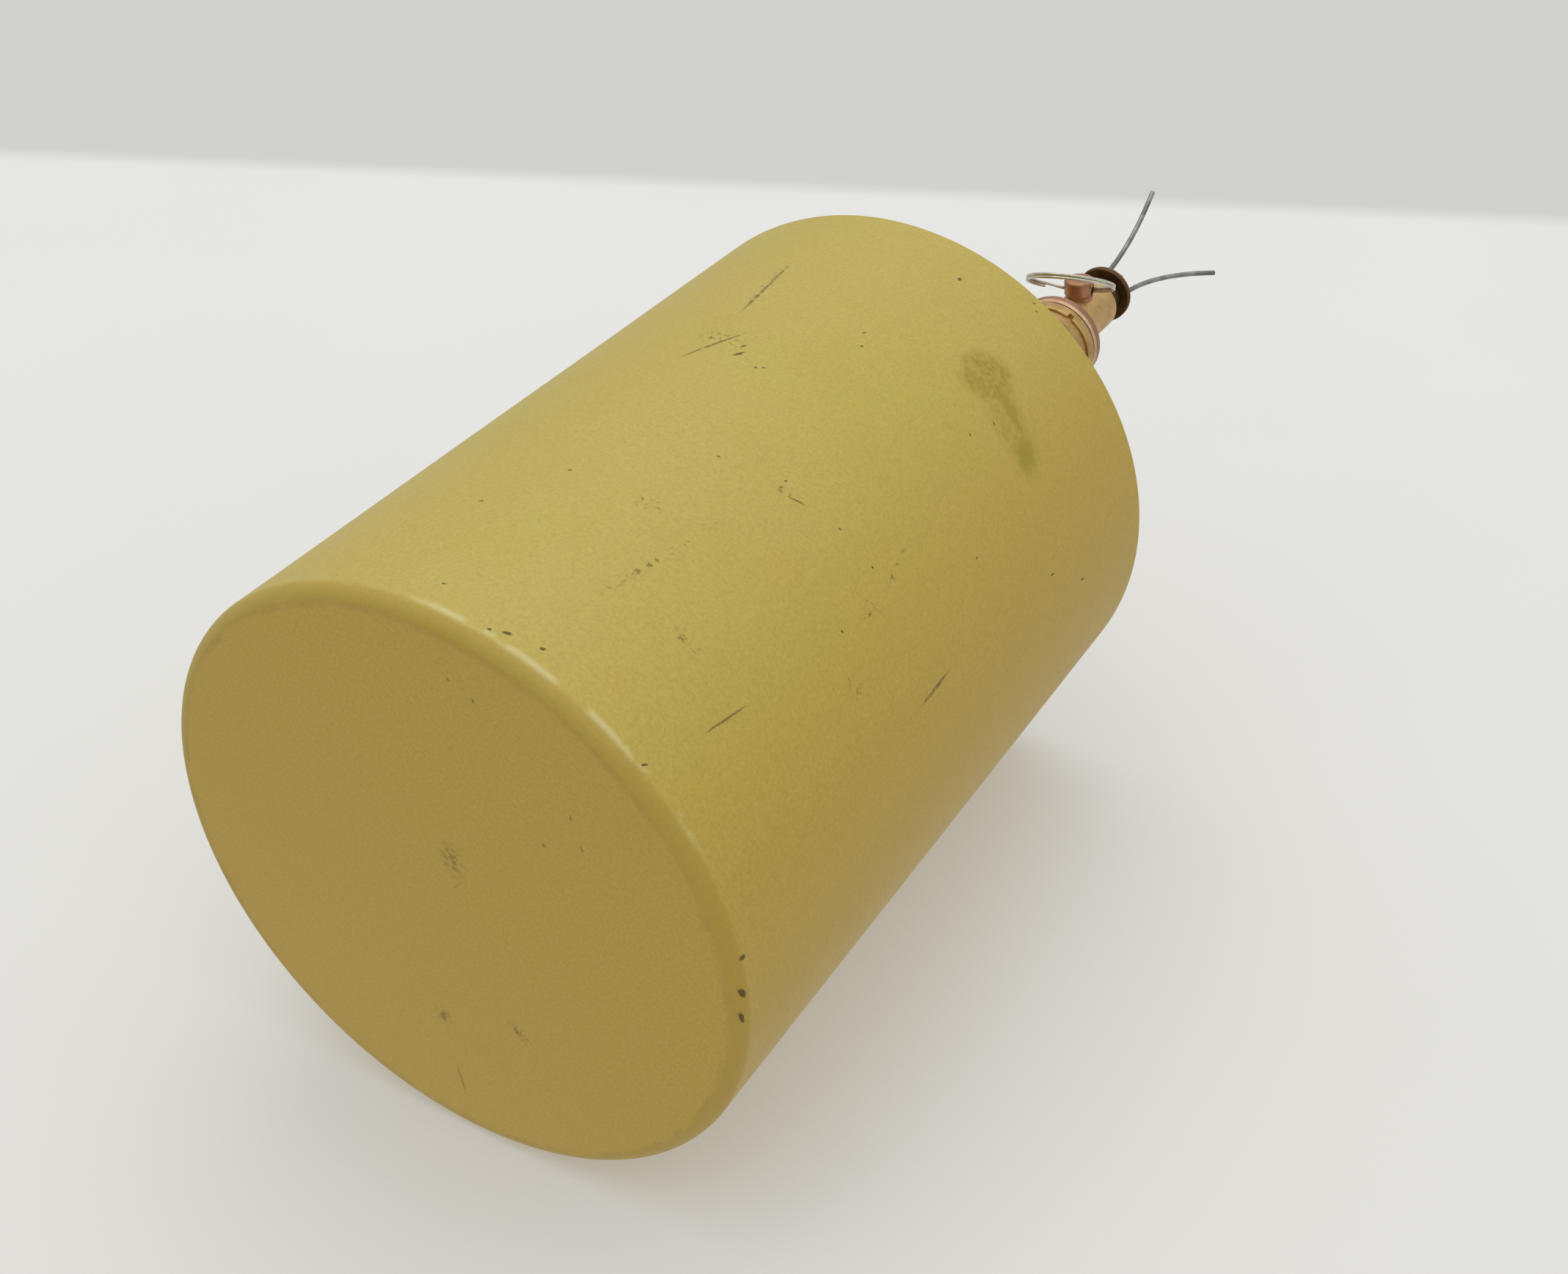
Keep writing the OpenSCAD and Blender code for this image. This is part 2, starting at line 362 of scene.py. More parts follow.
# lighter khaki for the base rim's line, partly paint wear and partly a painted highlight
KHAKI_WEAR_AND_HIGHLIGHT = (0.640, 0.550, 0.240)
STAIN_GREEN = (0.350, 0.262, 0.012)
BARE_DARK = (0.060, 0.036, 0.010)
GRAIN_DARK = (0.33, 0.24, 0.040)
GRAIN_LIGHT = (0.66, 0.53, 0.14)
RIM_DIRT = (0.20, 0.13, 0.035)
RIM_BROWN = (0.43, 0.290, 0.034)

# the stain's lobe, body, core and end: direction in degrees, height, length and width in mm,
# tilt in degrees and softness
STAIN = [
    (-96.6, 111.4, 11, 12, 0, 0.35), (-87.5, 108.6, 22, 9, -16, 0.5),
    (-89, 110.4, 11, 3.2, -18, 0.6), (-81, 107.0, 8, 5.5, -35, 0.6),
]

# chips in the wall's paint: direction in degrees, height, length and width in mm, tilt in degrees
WALL_CHIPS = [
    (-118, 4.2, 1.5, 0.7, 25), (-120.3, 3.2, 0.7, 0.5, 0), (-112.5, 5.4, 0.9, 0.6, 40),
    (-90, 3.0, 1.2, 0.4, 60), (-132, 81.3, 2.4, 0.7, 62), (-132.8, 83.8, 1.2, 0.5, 70),
    (-127.1, 79.2, 0.7, 0.4, 0), (-126, 80, 0.6, 0.4, 30), (-114, 128, 1.0, 0.8, 90),
    (-91, 98, 0.8, 0.4, -20), (-89.4, 104.8, 0.9, 0.4, -30), (-118, 55.5, 0.6, 0.4, 0),
    (-107, 59.5, 0.7, 0.3, 50), (-134.8, 39, 0.7, 0.4, 20), (-142, 26.5, 0.6, 0.4, 0),
    (-132, 7, 0.8, 0.3, 10), (-74, 82.6, 0.6, 0.5, 0), (-58.6, 101.8, 1.6, 0.35, 80),
    (-51, 112.4, 1.6, 0.35, 80), (-100.5, 136, 0.8, 0.4, 40), (-99, 134.8, 0.5, 0.5, 0),
    (-118.3, 100.5, 0.9, 0.35, 70), (-116.5, 97, 0.7, 0.35, 70), (-86.6, 60.2, 0.5, 0.4, 0),
    (-82.7, 47, 0.6, 0.4, 10), (-32.5, 106.5, 0.7, 0.4, 0), (-95, 60, 0.5, 0.4, 0),
    (-55.7, 2.2, 1.3, 0.9, 80), (-49.5, 1.2, 2.0, 0.8, 15), (-44.5, 0.9, 2.2, 0.6, 10),
]

# chips and scratches on the base: x, y, length and width in mm, tilt in degrees
BASE_CHIPS = [
    (1.6, -27.2, 0.9, 0.6, 0), (0.3, -35.7, 1.2, 0.4, 50), (4.6, -33.2, 1.0, 0.4, 30),
    (-24, -34.5, 0.8, 0.4, 0), (-19.8, -35.7, 1.0, 0.5, 30), (26.4, 29.4, 6.5, 0.35, 36),
]

# scuffed patches on the base: x, y, width and height in mm, tilt in degrees
BASE_SCUFFS = [(-3.6, -8.2, 6.5, 4.0, 40), (24, 8, 5, 2, 0), (16, 21, 4, 3, 20)]

# patches of small dots: direction in degrees, height, width and height of the patch in mm
DOT_PATCHES = [
    (-119.6, 39.2, 4.6, 3.6), (-99, 22.6, 5.0, 2.4), (-74.5, 43.5, 4.4, 3.0),
    (-82, 54, 3.0, 4.2), (-138, 84.5, 8.0, 7.0), (-106, 57.5, 3.6, 2.2),
]

# rows of dots: from and to, as direction in degrees and height in mm, and width in mm
DOT_ROWS = [
    ((-113.4, 17), (-109.4, 44), 1.3), ((-85, 69), (-82.2, 59.5), 1.2),
    ((-141, 95), (-144, 114), 1.6),
]

# long scratches: from and to, as direction in degrees and height in mm, and width in mm
SCRATCHES = [
    ((-62, 55.8), (-62.5, 65.4), 0.7), ((-104.9, 57.2), (-101.5, 58.4), 0.4),
    ((-87, 14), (-85.4, 23.6), 0.35), ((-140.5, 94), (-143.5, 115), 0.7),
    ((-135, 88), (-141, 76), 0.6),
]


def round_the_wall(degrees):
    """Distance in metres along the wall from the +X side."""
    return math.radians(degrees) * can_r


def spot(n, where, x, y, length, width, tilt, soft=0.45):
    """Mask of one oval mark, in the unrolled surface's own coordinates."""
    made = n.node("ShaderNodeMapping", vector_type="TEXTURE")
    n.put(made.inputs["Vector"], where)
    made.inputs["Location"].default_value = (x, y, 0)
    made.inputs["Rotation"].default_value = (0, 0, math.radians(tilt))
    made.inputs["Scale"].default_value = (length / 2, width / 2, 1)
    away = n.node("ShaderNodeVectorMath", operation="LENGTH")
    n.put(away.inputs[0], made.outputs[0])
    return n.ramp(away.outputs["Value"], 1 + soft / 2, 1 - soft)


def most(n, masks):
    """The strongest of several masks. Each is made as it is needed, which Cycles needs too."""
    total = 0.0
    for mask in masks:
        total = n.math("MAXIMUM", total, mask)
    return total


def streak(n, where, start, end, width, soft=0.45):
    """Mask of a long thin mark on the wall between two (degrees, height in mm) places."""
    run = Vector((round_the_wall(end[0] - start[0]), (end[1] - start[1]) * MM))
    tilt = math.degrees(math.atan2(run.y, run.x))
    middle = round_the_wall((start[0] + end[0]) / 2)
    return spot(n, where, middle, (start[1] + end[1]) / 2 * MM, run.length, width * MM, tilt, soft)


def khaki_paint():
    """Satin khaki paint with grain, chips, scratches, a green stain, a base rim with paint wear and
    a painted highlight, and painted shade that makes the base and the side away from the key light
    more brown.
    """
    n = Nodes("khaki_paint")
    x, y, z = n.parts(n.place)
    angle = n.math("ARCTAN2", y, x)
    round_wall = n.math("MULTIPLY", angle, can_r)
    ragged = n.noise(0.0006, detail=2, rough=0.6)
    shake = n.math("MULTIPLY", n.math("SUBTRACT", ragged, 0.5), 0.5 * MM)
    wall = n.joined(n.math("ADD", round_wall, shake), n.math("ADD", z, shake))
    base = n.joined(n.math("ADD", x, shake), n.math("ADD", y, shake))
    from_axis = n.math("SQRT", n.math("ADD", n.math("POWER", x, 2), n.math("POWER", y, 2)))
    end_face = n.ramp(from_axis, can_r - 1.5 * MM, can_r - 2 * MM)
    on_base = n.math("MULTIPLY", n.ramp(z, 0.4 * MM, 0.1 * MM), end_face)
    on_wall = n.math("SUBTRACT", 1.0, on_base)

    # colour drifts slowly between greener and browner khaki
    drift = n.noise(0.045, detail=3, rough=0.55)
    colour = n.mix(n.ramp(drift, 0.35, 0.7), KHAKI, KHAKI_GREEN)
    cloudy = n.noise(0.012, detail=4, rough=0.6)
    colour = n.mix(n.math("MULTIPLY", n.ramp(cloudy, 0.5, 0.75), 0.22), colour, KHAKI_BROWN)
    # painted shade: the base and the wall on the side away from the key light are painted more
    # brown; the brown side fades out before the angle wraps round, so that no seam shows there
    side = n.math("MULTIPLY", n.ramp(angle, math.radians(-105), math.radians(-60)),
                  n.ramp(angle, math.radians(178), math.radians(90)))
    painted_shade_brown = n.math("MAXIMUM", end_face, side)
    colour = n.mix(n.math("MULTIPLY", painted_shade_brown, 0.75), colour, KHAKI_BROWN)

    # fine grain of the sprayed paint
    grain = n.noise(0.0006, detail=3, rough=0.75)
    darker = n.math("MULTIPLY", n.ramp(grain, 0.56, 0.36), 0.26)
    colour = n.mix(darker, colour, GRAIN_DARK)
    lighter = n.math("MULTIPLY", n.ramp(grain, 0.56, 0.70), 0.20)
    colour = n.mix(lighter, colour, GRAIN_LIGHT)

    # the green stain: a round lobe, a long body, a dark core and a ragged tail
    blotch = n.noise(0.0011, detail=4, rough=0.7)
    mottle = n.ramp(blotch, 0.36, 0.62)
    wide = n.noise(0.0035, detail=4, rough=0.65)
    swell = n.math("MULTIPLY", n.math("SUBTRACT", wide, 0.5), 4.5 * MM)
    stained = n.joined(n.math("ADD", round_wall, swell), n.math("ADD", z, swell))
    lobe, body, core, end = [
        spot(n, stained, round_the_wall(az), height * MM, long * MM, wide * MM, tilt, soft)
        for az, height, long, wide, tilt, soft in STAIN]
    speckled = n.math("MULTIPLY", n.math("MAXIMUM", lobe, n.math("MULTIPLY", body, 0.6)),
                      n.math("ADD", n.math("MULTIPLY", mottle, 0.6), 0.4))
    solid = n.math("MULTIPLY", n.math("MAXIMUM", core, end), 0.9)
    stain = n.math("MULTIPLY", n.math("MAXIMUM", speckled, solid), on_wall)
    colour = n.mix(stain, colour, STAIN_GREEN)

    # the rounded edge of the base: a lighter line where the fillet meets the wall, between -140 and
    # -72 degrees round the can, that is partly paint wear and partly a painted highlight; a faint,
    # broken dark line of dirt on the base at the fillet's inner edge; and a browner band over the
    # lower fillet
    rim_wave = n.noise(0.006, detail=3, rough=0.6)
    rim_line = n.math("MULTIPLY", n.ramp(z, 1.3 * MM, 2.2 * MM), n.ramp(z, 3.3 * MM, 2.5 * MM))
    rim_side = n.math("MULTIPLY", n.ramp(angle, math.radians(-140), math.radians(-126)),
                      n.ramp(angle, math.radians(-72), math.radians(-84)))
    # the rim line: partly paint wear, partly a painted highlight
    rim_wear_and_highlight = n.math("MULTIPLY", n.math("MULTIPLY", rim_line, rim_side),
                      n.ramp(rim_wave, 0.42, 0.56))
    colour = n.mix(n.math("MULTIPLY", rim_wear_and_highlight, 0.8), colour, KHAKI_WEAR_AND_HIGHLIGHT)
    inner_line = n.math("MULTIPLY", n.ramp(from_axis, can_r - 3.4 * MM, can_r - 2.7 * MM),
                        n.ramp(from_axis, can_r - 1.6 * MM, can_r - 2.3 * MM))
    dirt = n.math("MULTIPLY", n.math("MULTIPLY", inner_line, n.ramp(rim_wave, 0.38, 0.62)), 0.2)
    colour = n.mix(n.math("MULTIPLY", dirt, n.ramp(z, 1.0 * MM, 0.5 * MM)), colour,
                   RIM_DIRT)
    # a browner band over the lower part of the fillet
    rim_band = n.math("MULTIPLY", n.ramp(from_axis, can_r - 2.9 * MM, can_r - 1.8 * MM),
                      n.ramp(z, 2.4 * MM, 1.5 * MM))
    colour = n.mix(n.math("MULTIPLY", rim_band, 0.6), colour, RIM_BROWN)

    # chips down to the dark primer
    chips = most(n, (spot(n, wall, round_the_wall(az), height * MM, long * MM, wide * MM, tilt)
                     for az, height, long, wide, tilt in WALL_CHIPS))
    specks = n.ramp(n.noise(0.0009, detail=3, rough=0.65), 0.54, 0.64)
    patches = most(n, (spot(n, wall, round_the_wall(az), height * MM, wide * MM, tall * MM, 0, 0.8)
                       for az, height, wide, tall in DOT_PATCHES))
    rows = most(n, (streak(n, wall, *row, 0.7) for row in DOT_ROWS))
    dots = n.math("MULTIPLY", n.math("MAXIMUM", patches, rows), specks)
    pecked = n.ramp(n.noise(0.0009, detail=2), 0.30, 0.46)
    scraped = n.math("MULTIPLY", most(n, (streak(n, wall, *row) for row in SCRATCHES)), pecked)
    on_the_wall = n.math("MAXIMUM", chips, n.math("MAXIMUM", n.math("MULTIPLY", dots, 0.7),
                                                  n.math("MULTIPLY", scraped, 0.75)))
    base_marks = most(n, (spot(n, base, u * MM, v * MM, long * MM, wide * MM, tilt, 0.7)
                          for u, v, long, wide, tilt in BASE_CHIPS))
    scuffs = most(n, (spot(n, base, u * MM, v * MM, wide * MM, tall * MM, tilt, 0.9)
                      for u, v, wide, tall, tilt in BASE_SCUFFS))
    rubbed = n.math("MULTIPLY", scuffs, n.ramp(n.noise(0.0011, detail=4, rough=0.7), 0.42, 0.62))
    on_the_base = n.math("MAXIMUM", n.math("MULTIPLY", base_marks, 0.6),
                         n.math("MULTIPLY", rubbed, 0.6))
    chipped = n.math("ADD", n.math("MULTIPLY", on_the_wall, on_wall),
                     n.math("MULTIPLY", on_the_base, on_base))
    colour = n.mix(n.math("MULTIPLY", chipped, 0.85), colour, BARE_DARK)

    rough = n.math("ADD", n.math("MULTIPLY", n.noise(0.004, detail=3), 0.10), 0.42)
    rough = n.math("ADD", rough, n.math("MULTIPLY", chipped, 0.25))
    skin = n.math("ADD", n.math("MULTIPLY", n.noise(0.0008, detail=2, rough=0.5), 0.6),
                  n.math("MULTIPLY", n.noise(0.006, detail=2), 0.5))
    n.bump(skin, 0.05 * MM, 0.55)
    return n.finish(colour, rough, specular=0.5)


# ---------- metals and small parts ----------

def turned_metal(name, bright, dull, rough, stain=0.5, lines=0.012, band=None):
    """Turned and aged metal: patina clouds, fine lathe lines round the axis and small pits.
    A band is (from, to, colour): the metal has that lighter colour between those heights, as
    painted light, broken up a little by the patina clouds."""
    n = Nodes(name)
    clouds = n.noise(0.0035, detail=5, rough=0.65)
    spots = n.noise(0.0009, detail=3, rough=0.7)
    aged = n.math("MULTIPLY", n.ramp(clouds, 0.38, 0.66), stain)
    colour = n.mix(aged, bright, dull)
    colour = n.mix(n.math("MULTIPLY", n.ramp(spots, 0.6, 0.72), 0.5), colour,
                   tuple(c * 0.45 for c in dull))
    if band:
        z = n.parts(n.place)[2]
        within = n.math("MULTIPLY", n.ramp(z, band[0] - 0.04 * MM, band[0] + 0.04 * MM),
                        n.ramp(z, band[1] + 0.04 * MM, band[1] - 0.04 * MM))
        # how much of the band's painted light shows, broken up by the clouds
        lit_band_share = n.math("ADD", n.math("MULTIPLY", n.ramp(clouds, 0.7, 0.4), 0.35), 0.65)
        colour = n.mix(n.math("MULTIPLY", within, lit_band_share), colour, band[2])
    tool = n.noise(0.00022, detail=2, stretch=(0.04, 0.04, 1))
    rough_map = n.math("ADD", n.math("MULTIPLY", clouds, 0.22), rough - 0.11)
    rough_map = n.math("ADD", rough_map, n.math("MULTIPLY", tool, 0.12))
    n.bump(n.math("ADD", tool, n.math("MULTIPLY", spots, 0.4)), lines * MM, 0.6)
    return n.finish(colour, rough_map, metallic=1.0)


def drawn_wire(name, bright, dull, rough):
    """Drawn wire with darker patches and fine pits."""
    n = Nodes(name)
    patches = n.noise(0.004, detail=4, rough=0.6)
    pits = n.noise(0.0005, detail=2, rough=0.6)
    colour = n.mix(n.ramp(patches, 0.35, 0.65), bright, dull)
    colour = n.mix(n.math("MULTIPLY", n.ramp(pits, 0.6, 0.75), 0.5), colour,
                   tuple(c * 0.4 for c in dull))
    n.bump(pits, 0.01 * MM, 0.5)
    return n.finish(colour, n.math("ADD", n.math("MULTIPLY", patches, 0.2), rough - 0.1),
                    metallic=1.0)


def matt_part(name, colour, other, size, rough):
    """Matt material with a fine fleck in it, for the seal and the gasket."""
    n = Nodes(name)
    fleck = n.noise(size, detail=5, rough=0.7)
    n.bump(fleck, 0.03 * MM, 0.6)
    return n.finish(n.mix(n.ramp(fleck, 0.4, 0.65), colour, other),
                    n.math("ADD", n.math("MULTIPLY", fleck, 0.2), rough - 0.1))


paint = khaki_paint()
brass = turned_metal("aged_brass", (0.62, 0.42, 0.17), (0.33, 0.20, 0.07), 0.38)
barrel_brass = turned_metal("tan_brass", (0.66, 0.45, 0.20), (0.50, 0.33, 0.13), 0.42, stain=0.6)
copper = turned_metal("copper_finish", (0.50, 0.26, 0.15), (0.28, 0.14, 0.08), 0.40)
collar_low = bottom_of("collar_ring")
# the collar's lowest 0.4 mm, its bevel, is painted bright copper as a painted highlight
collar_copper = turned_metal("collar_copper", (0.50, 0.28, 0.17), (0.30, 0.15, 0.09), 0.38,
                             band=(collar_low, collar_low + 0.4 * MM, (0.80, 0.56, 0.36)))
disc_high = top_of("head_disc")
# the head disc's copper is painted dark as shade on its side and underside; the band over its outer
# face and top edge keeps the lit copper colour
shade_painted_copper = turned_metal("shade_painted_disc", (0.13, 0.075, 0.035), (0.06, 0.035, 0.015), 0.42,
                           band=(disc_high - 0.55 * MM, disc_high + MM, (0.42, 0.20, 0.11)))
# the waist is painted dark as shade, for the narrow neck under the disc
dark_bronze = turned_metal("dark_bronze", (0.12, 0.075, 0.035), (0.05, 0.03, 0.015), 0.45)
inner_steel = turned_metal("washer_steel", (0.50, 0.50, 0.49), (0.30, 0.30, 0.30), 0.35)
solder = turned_metal("grey_solder", (0.56, 0.56, 0.55), (0.38, 0.38, 0.38), 0.45, lines=0.03)
wire = drawn_wire("prong_wire", (0.34, 0.34, 0.34), (0.18, 0.18, 0.19), 0.38)
bright_wire = drawn_wire("ring_wire", (0.78, 0.75, 0.66), (0.55, 0.51, 0.42), 0.30)
fibre = matt_part("red_fibre", (0.30, 0.11, 0.05), (0.20, 0.07, 0.03), 0.0012, 0.75)
rubber = matt_part("black_rubber", (0.030, 0.028, 0.026), (0.055, 0.052, 0.048), 0.0007, 0.6)


# ---------- the can ----------

def can_shell():
    """Drawn can: flat base, rounded base edge and a wall with the faint waves of sheet metal."""
    wave = 0.10 * MM
    wave_stretch, waves_per_metre = 0.6, 45
    inner_edge = BASE_EDGE - sheet
    outline = divided(rounded([
        (0, 0, 0), (can_r, 0, BASE_EDGE), (can_r, can_h, 0.3 * MM),
        (can_r - sheet, can_h, 0.25 * MM), (can_r - sheet, sheet, inner_edge),
        (0, sheet, 0)], arc_steps=10), 4 * MM)
    verts, faces = lathe(outline, sides=CAN_SIDES)
    for v in verts:
        across = Vector((v.x, v.y, 0))
        if across.length < can_r - 2 * sheet or v.z < BASE_EDGE:
            continue
        place = Vector((v.x, v.y, v.z * wave_stretch)) * waves_per_metre
        inward = wave * (0.5 + 0.5 * noise.noise(place))
        v -= across.normalized() * inward
    piece = make_mesh("painted_can", verts, faces)
    return finished(piece, "can_shell", "canister", paint)


def top_plate():
    """Lid with a rounded edge, a skirt inside the wall and a hole for the bush."""
    gap = 0.03 * MM
    r = plate_r - gap
    outline = divided(rounded([
        (0, can_h - sheet, 0), (r - sheet, can_h - sheet, 0.2 * MM),
        (r - sheet, can_h - SKIRT, 0.1 * MM), (r, can_h - SKIRT, 0.1 * MM),
        (r, can_h, 0.45 * MM), (0, can_h, 0)]), 5 * MM)
    plate = make_mesh("painted_lid", *lathe(outline, sides=CAN_SIDES))
    reach = 4 * MM
    hole = lathe([Vector((0, can_h - reach)), Vector((THREAD_R, can_h - reach)),
                  Vector((THREAD_R, can_h + reach)), Vector((0, can_h + reach))], sides=64)
    cutter = make_mesh("cutter", moved(hole[0], Matrix.Translation(fitting)), hole[1])
    cut(plate, cutter)
    return finished(plate, "top_plate", "canister", paint)


# ---------- the fitting ----------

def turned(name, corners, node, body, material, closed=False, cutters=()):
    """A turned part of the fitting, from its (r, z, radius) corners."""
    verts, faces = lathe(rounded(corners), TURNED_SIDES, closed)
    piece = make_mesh(name, moved(verts, Matrix.Translation(fitting)), faces)
    if cutters:
        cut(piece, *cutters)
    return finished(piece, node, body, material)


def neck_parts():
    """The bush's flange, the column and the brass lock ring with its two tool slots."""
    flange_r = radius_of("neck_bush")
    low, high = bottom_of("neck_bush"), top_of("neck_bush")
    seat = top_of("bush_seal")
    edge = 0.4 * MM
    turned("flanged_bush", [
        (BORE_R, low, 0), (THREAD_R, low, 0.3 * MM), (THREAD_R, seat, 0),
        (flange_r, seat, 0.15 * MM), (flange_r, high, edge), (BORE_R, high, 0)],
        "neck_bush", "canister", brass, closed=True)

    column_r = radius_of("neck_column")
    column_top = top_of("neck_column")
    groove = high + MM
    wide = 0.5 * MM
    turned("turned_column", [
        (0, bottom_of("neck_column"), 0), (BORE_R, bottom_of("neck_column"), 0.2 * MM),
        (BORE_R, high, 0), (column_r, high, 0.15 * MM), (column_r, groove - wide, 0),
        (column_r - wide, groove, 0.2 * MM), (column_r, groove + wide, 0),
        (column_r, column_top, 0.15 * MM), (SPIGOT_R, column_top, 0),
        (SPIGOT_R, column_top - 5 * MM, 0), (0, column_top - 5 * MM, 0)],
        "neck_column", "canister", brass)

    lock_r = radius_of("lock_ring")
    lock_low, lock_high = bottom_of("lock_ring"), top_of("lock_ring")
    slot_w, slot_deep = 1.1 * MM, 0.7 * MM
    cutters = []
    for side in (0, math.pi):
        box = [Vector((lock_r + (2 * i - 1) * slot_deep, (j - 0.5) * slot_w,
                       lock_low + (k * 0.45 - 0.1 * (1 - k)) * (lock_high - lock_low)))
               for i in (0, 1) for j in (0, 1) for k in (0, 1)]
        place = Matrix.Translation(fitting) @ Matrix.Rotation(
            stud_az + SLOT_FROM_STUD + side, 4, "Z")
        faces = [(0, 1, 3, 2), (4, 6, 7, 5), (0, 4, 5, 1), (2, 3, 7, 6), (0, 2, 6, 4), (1, 5, 7, 3)]
        cutters.append(make_mesh("cutter", moved(box, place), faces))
    turned("slotted_lock_ring", [
        (SPIGOT_R, lock_low, 0), (lock_r, lock_low, 0.3 * MM), (lock_r, lock_high, 0.45 * MM),
        (SPIGOT_R, lock_high, 0)],
        "lock_ring", "canister", brass, closed=True, cutters=cutters)


def collar():
    """Copper-coloured collar with a bevelled lower edge and a rounded upper one."""
    r = radius_of("collar_ring")
    low, high = bottom_of("collar_ring"), top_of("collar_ring")
    turned("copper_collar", [
        (SPIGOT_R, low, 0), (r - 0.35 * MM, low, 0.05 * MM), (r, low + 0.35 * MM, 0.15 * MM),
        (r, high, 0.55 * MM), (r - 2.2 * MM, high, 0.1 * MM),
        (r - 2.5 * MM, high - COLLAR_RECESS, 0.1 * MM), (SPIGOT_R, high - COLLAR_RECESS, 0)],
        "collar_ring", "fitting_head", collar_copper, closed=True)


def barrel():
    """Slightly flared barrel with a small fillet at its foot and a rounded end."""
    foot_r = 4.6 * MM
    end_r = radius_of("barrel")
    foot = top_of("collar_ring") - COLLAR_RECESS
    end = top_of("barrel")
    turned("tan_barrel", [
        (0, foot - 2 * MM, 0), (SPIGOT_R, foot - 2 * MM, 0), (SPIGOT_R, foot, 0),
        (foot_r + 0.35 * MM, foot, 0), (foot_r, foot + 0.6 * MM, 0.4 * MM),
        (end_r, end - 0.6 * MM, 0.5 * MM), (end_r - 0.35 * MM, end, 0.25 * MM), (0, end, 0)],
        "barrel", "fitting_head", barrel_brass)


def head():
    """Waist painted dark as shade, and the copper disc with a turned hollow on its outer face, its
    side and underside painted dark as shade.
    """
    waist_r = radius_of("waist_spindle")
    disc_r = radius_of("head_disc")
    end = top_of("barrel")
    low, high = bottom_of("head_disc"), top_of("head_disc")
    turned("shade_painted_waist", [
        (0, end - MM, 0), (waist_r - 0.4 * MM, end - MM, 0),
        (waist_r - 0.4 * MM, end + 0.4 * MM, 0.4 * MM), (waist_r, low - 0.8 * MM, 0.6 * MM),
        (waist_r, low, 0), (0, low, 0)],
        "waist_spindle", "fitting_head", dark_bronze)
    turned("head_cap", [
        (0, low, 0), (disc_r - 0.2 * MM, low, 0.1 * MM), (disc_r, low + 0.25 * MM, 0.15 * MM),
        (disc_r, high, 0.4 * MM), (disc_r - 1.1 * MM, high, 0.15 * MM),
        (disc_r - 1.3 * MM, high - 0.15 * MM, 0.15 * MM), (1.8 * MM, high - 0.15 * MM, 0.1 * MM),
        (1.6 * MM, high, 0.25 * MM), (0, high, 0)],
        "head_disc", "fitting_head", shade_painted_copper)


def prong_path(az, sway):
    """Centre line of a bent prong: a straight root, then a smooth outward curve that leans over
    to one side, with a slight sway of its own."""
    foot = top_of("head_disc")
    tip = PRONG_R * 0.85
    height = top_of("prong_a") - foot - tip
    line = [Vector((PRONG_ROOT, foot)), Vector((PRONG_ROOT, foot + height * 0.4)),
            Vector((PRONG_REACH * 0.53, foot + height * 0.72)),
            Vector((PRONG_REACH, foot + height))]
    flat = [Vector((PRONG_ROOT, foot - MM))]
    for k in range(PRONG_STEPS + 1):
        t = k / PRONG_STEPS
        a, b = (1 - t) ** 3, 3 * (1 - t) ** 2 * t
        c, d = 3 * (1 - t) * t * t, t ** 3
        flat.append(line[0] * a + line[1] * b + line[2] * c + line[3] * d)
    path = []
    for r, z in flat:
        share = max(0.0, (z - foot) / height)
        lean = PRONG_LEAN * share * share
        swing = sway * math.sin(share * math.pi)
        x = r * math.cos(az) - swing * math.sin(az) + lean * math.cos(LEAN_AZ)
        y = r * math.sin(az) + swing * math.cos(az) + lean * math.sin(LEAN_AZ)
        path.append(fitting + Vector((x, y, z)))
    return path


def prongs():
    """The three bent wires, each with its own slight sway."""
    sways = {"prong_a": 0.15 * MM, "prong_b": -0.2 * MM, "prong_c": 0.1 * MM}
    for k, (node, sway) in enumerate(sways.items()):
        az = math.radians(90 + 120 * k)
        verts, faces = sweep(prong_path(az, sway), PRONG_R)
        piece = make_mesh("wire_" + node, verts, faces)
        finished(piece, node, "fitting_head", wire)


def stud():
    """Round stud with a domed end, cross-drilled for the ring."""
    level = (ring_pivot - fitting).z
    reach = ((ring_pivot - fitting).xy).length + 2.25 * MM
    seat = 3.8 * MM
    waist = 0.25 * MM
    verts, faces = lathe(rounded([
        (0, seat, 0), (STUD_R - waist, seat, 0), (STUD_R - waist, seat + 1.1 * MM, 0.2 * MM),
        (STUD_R, seat + 1.5 * MM, 0.3 * MM), (STUD_R, reach - 0.12 * MM, 0.55 * MM),
        (0, reach, 0)]), sides=96)
    turn = Vector((0, 0, 1)).rotation_difference(stud_out).to_matrix().to_4x4()
    place = Matrix.Translation(fitting + Vector((0, 0, level))) @ turn
    piece = make_mesh("copper_stud", moved(verts, place), faces)
    drill = lathe(rounded([(0, -6 * MM, 0), (HOLE_R, -6 * MM, 0), (HOLE_R, 6 * MM, 0),
                           (0, 6 * MM, 0)]), sides=48)
    along = Vector((0, 0, 1)).rotation_difference(ring_axis).to_matrix().to_4x4()
    cutter = make_mesh("cutter", moved(drill[0], Matrix.Translation(ring_pivot) @ along), drill[1])
    cut(piece, cutter)
    finished(piece, "ring_stud", "fitting_head", copper)


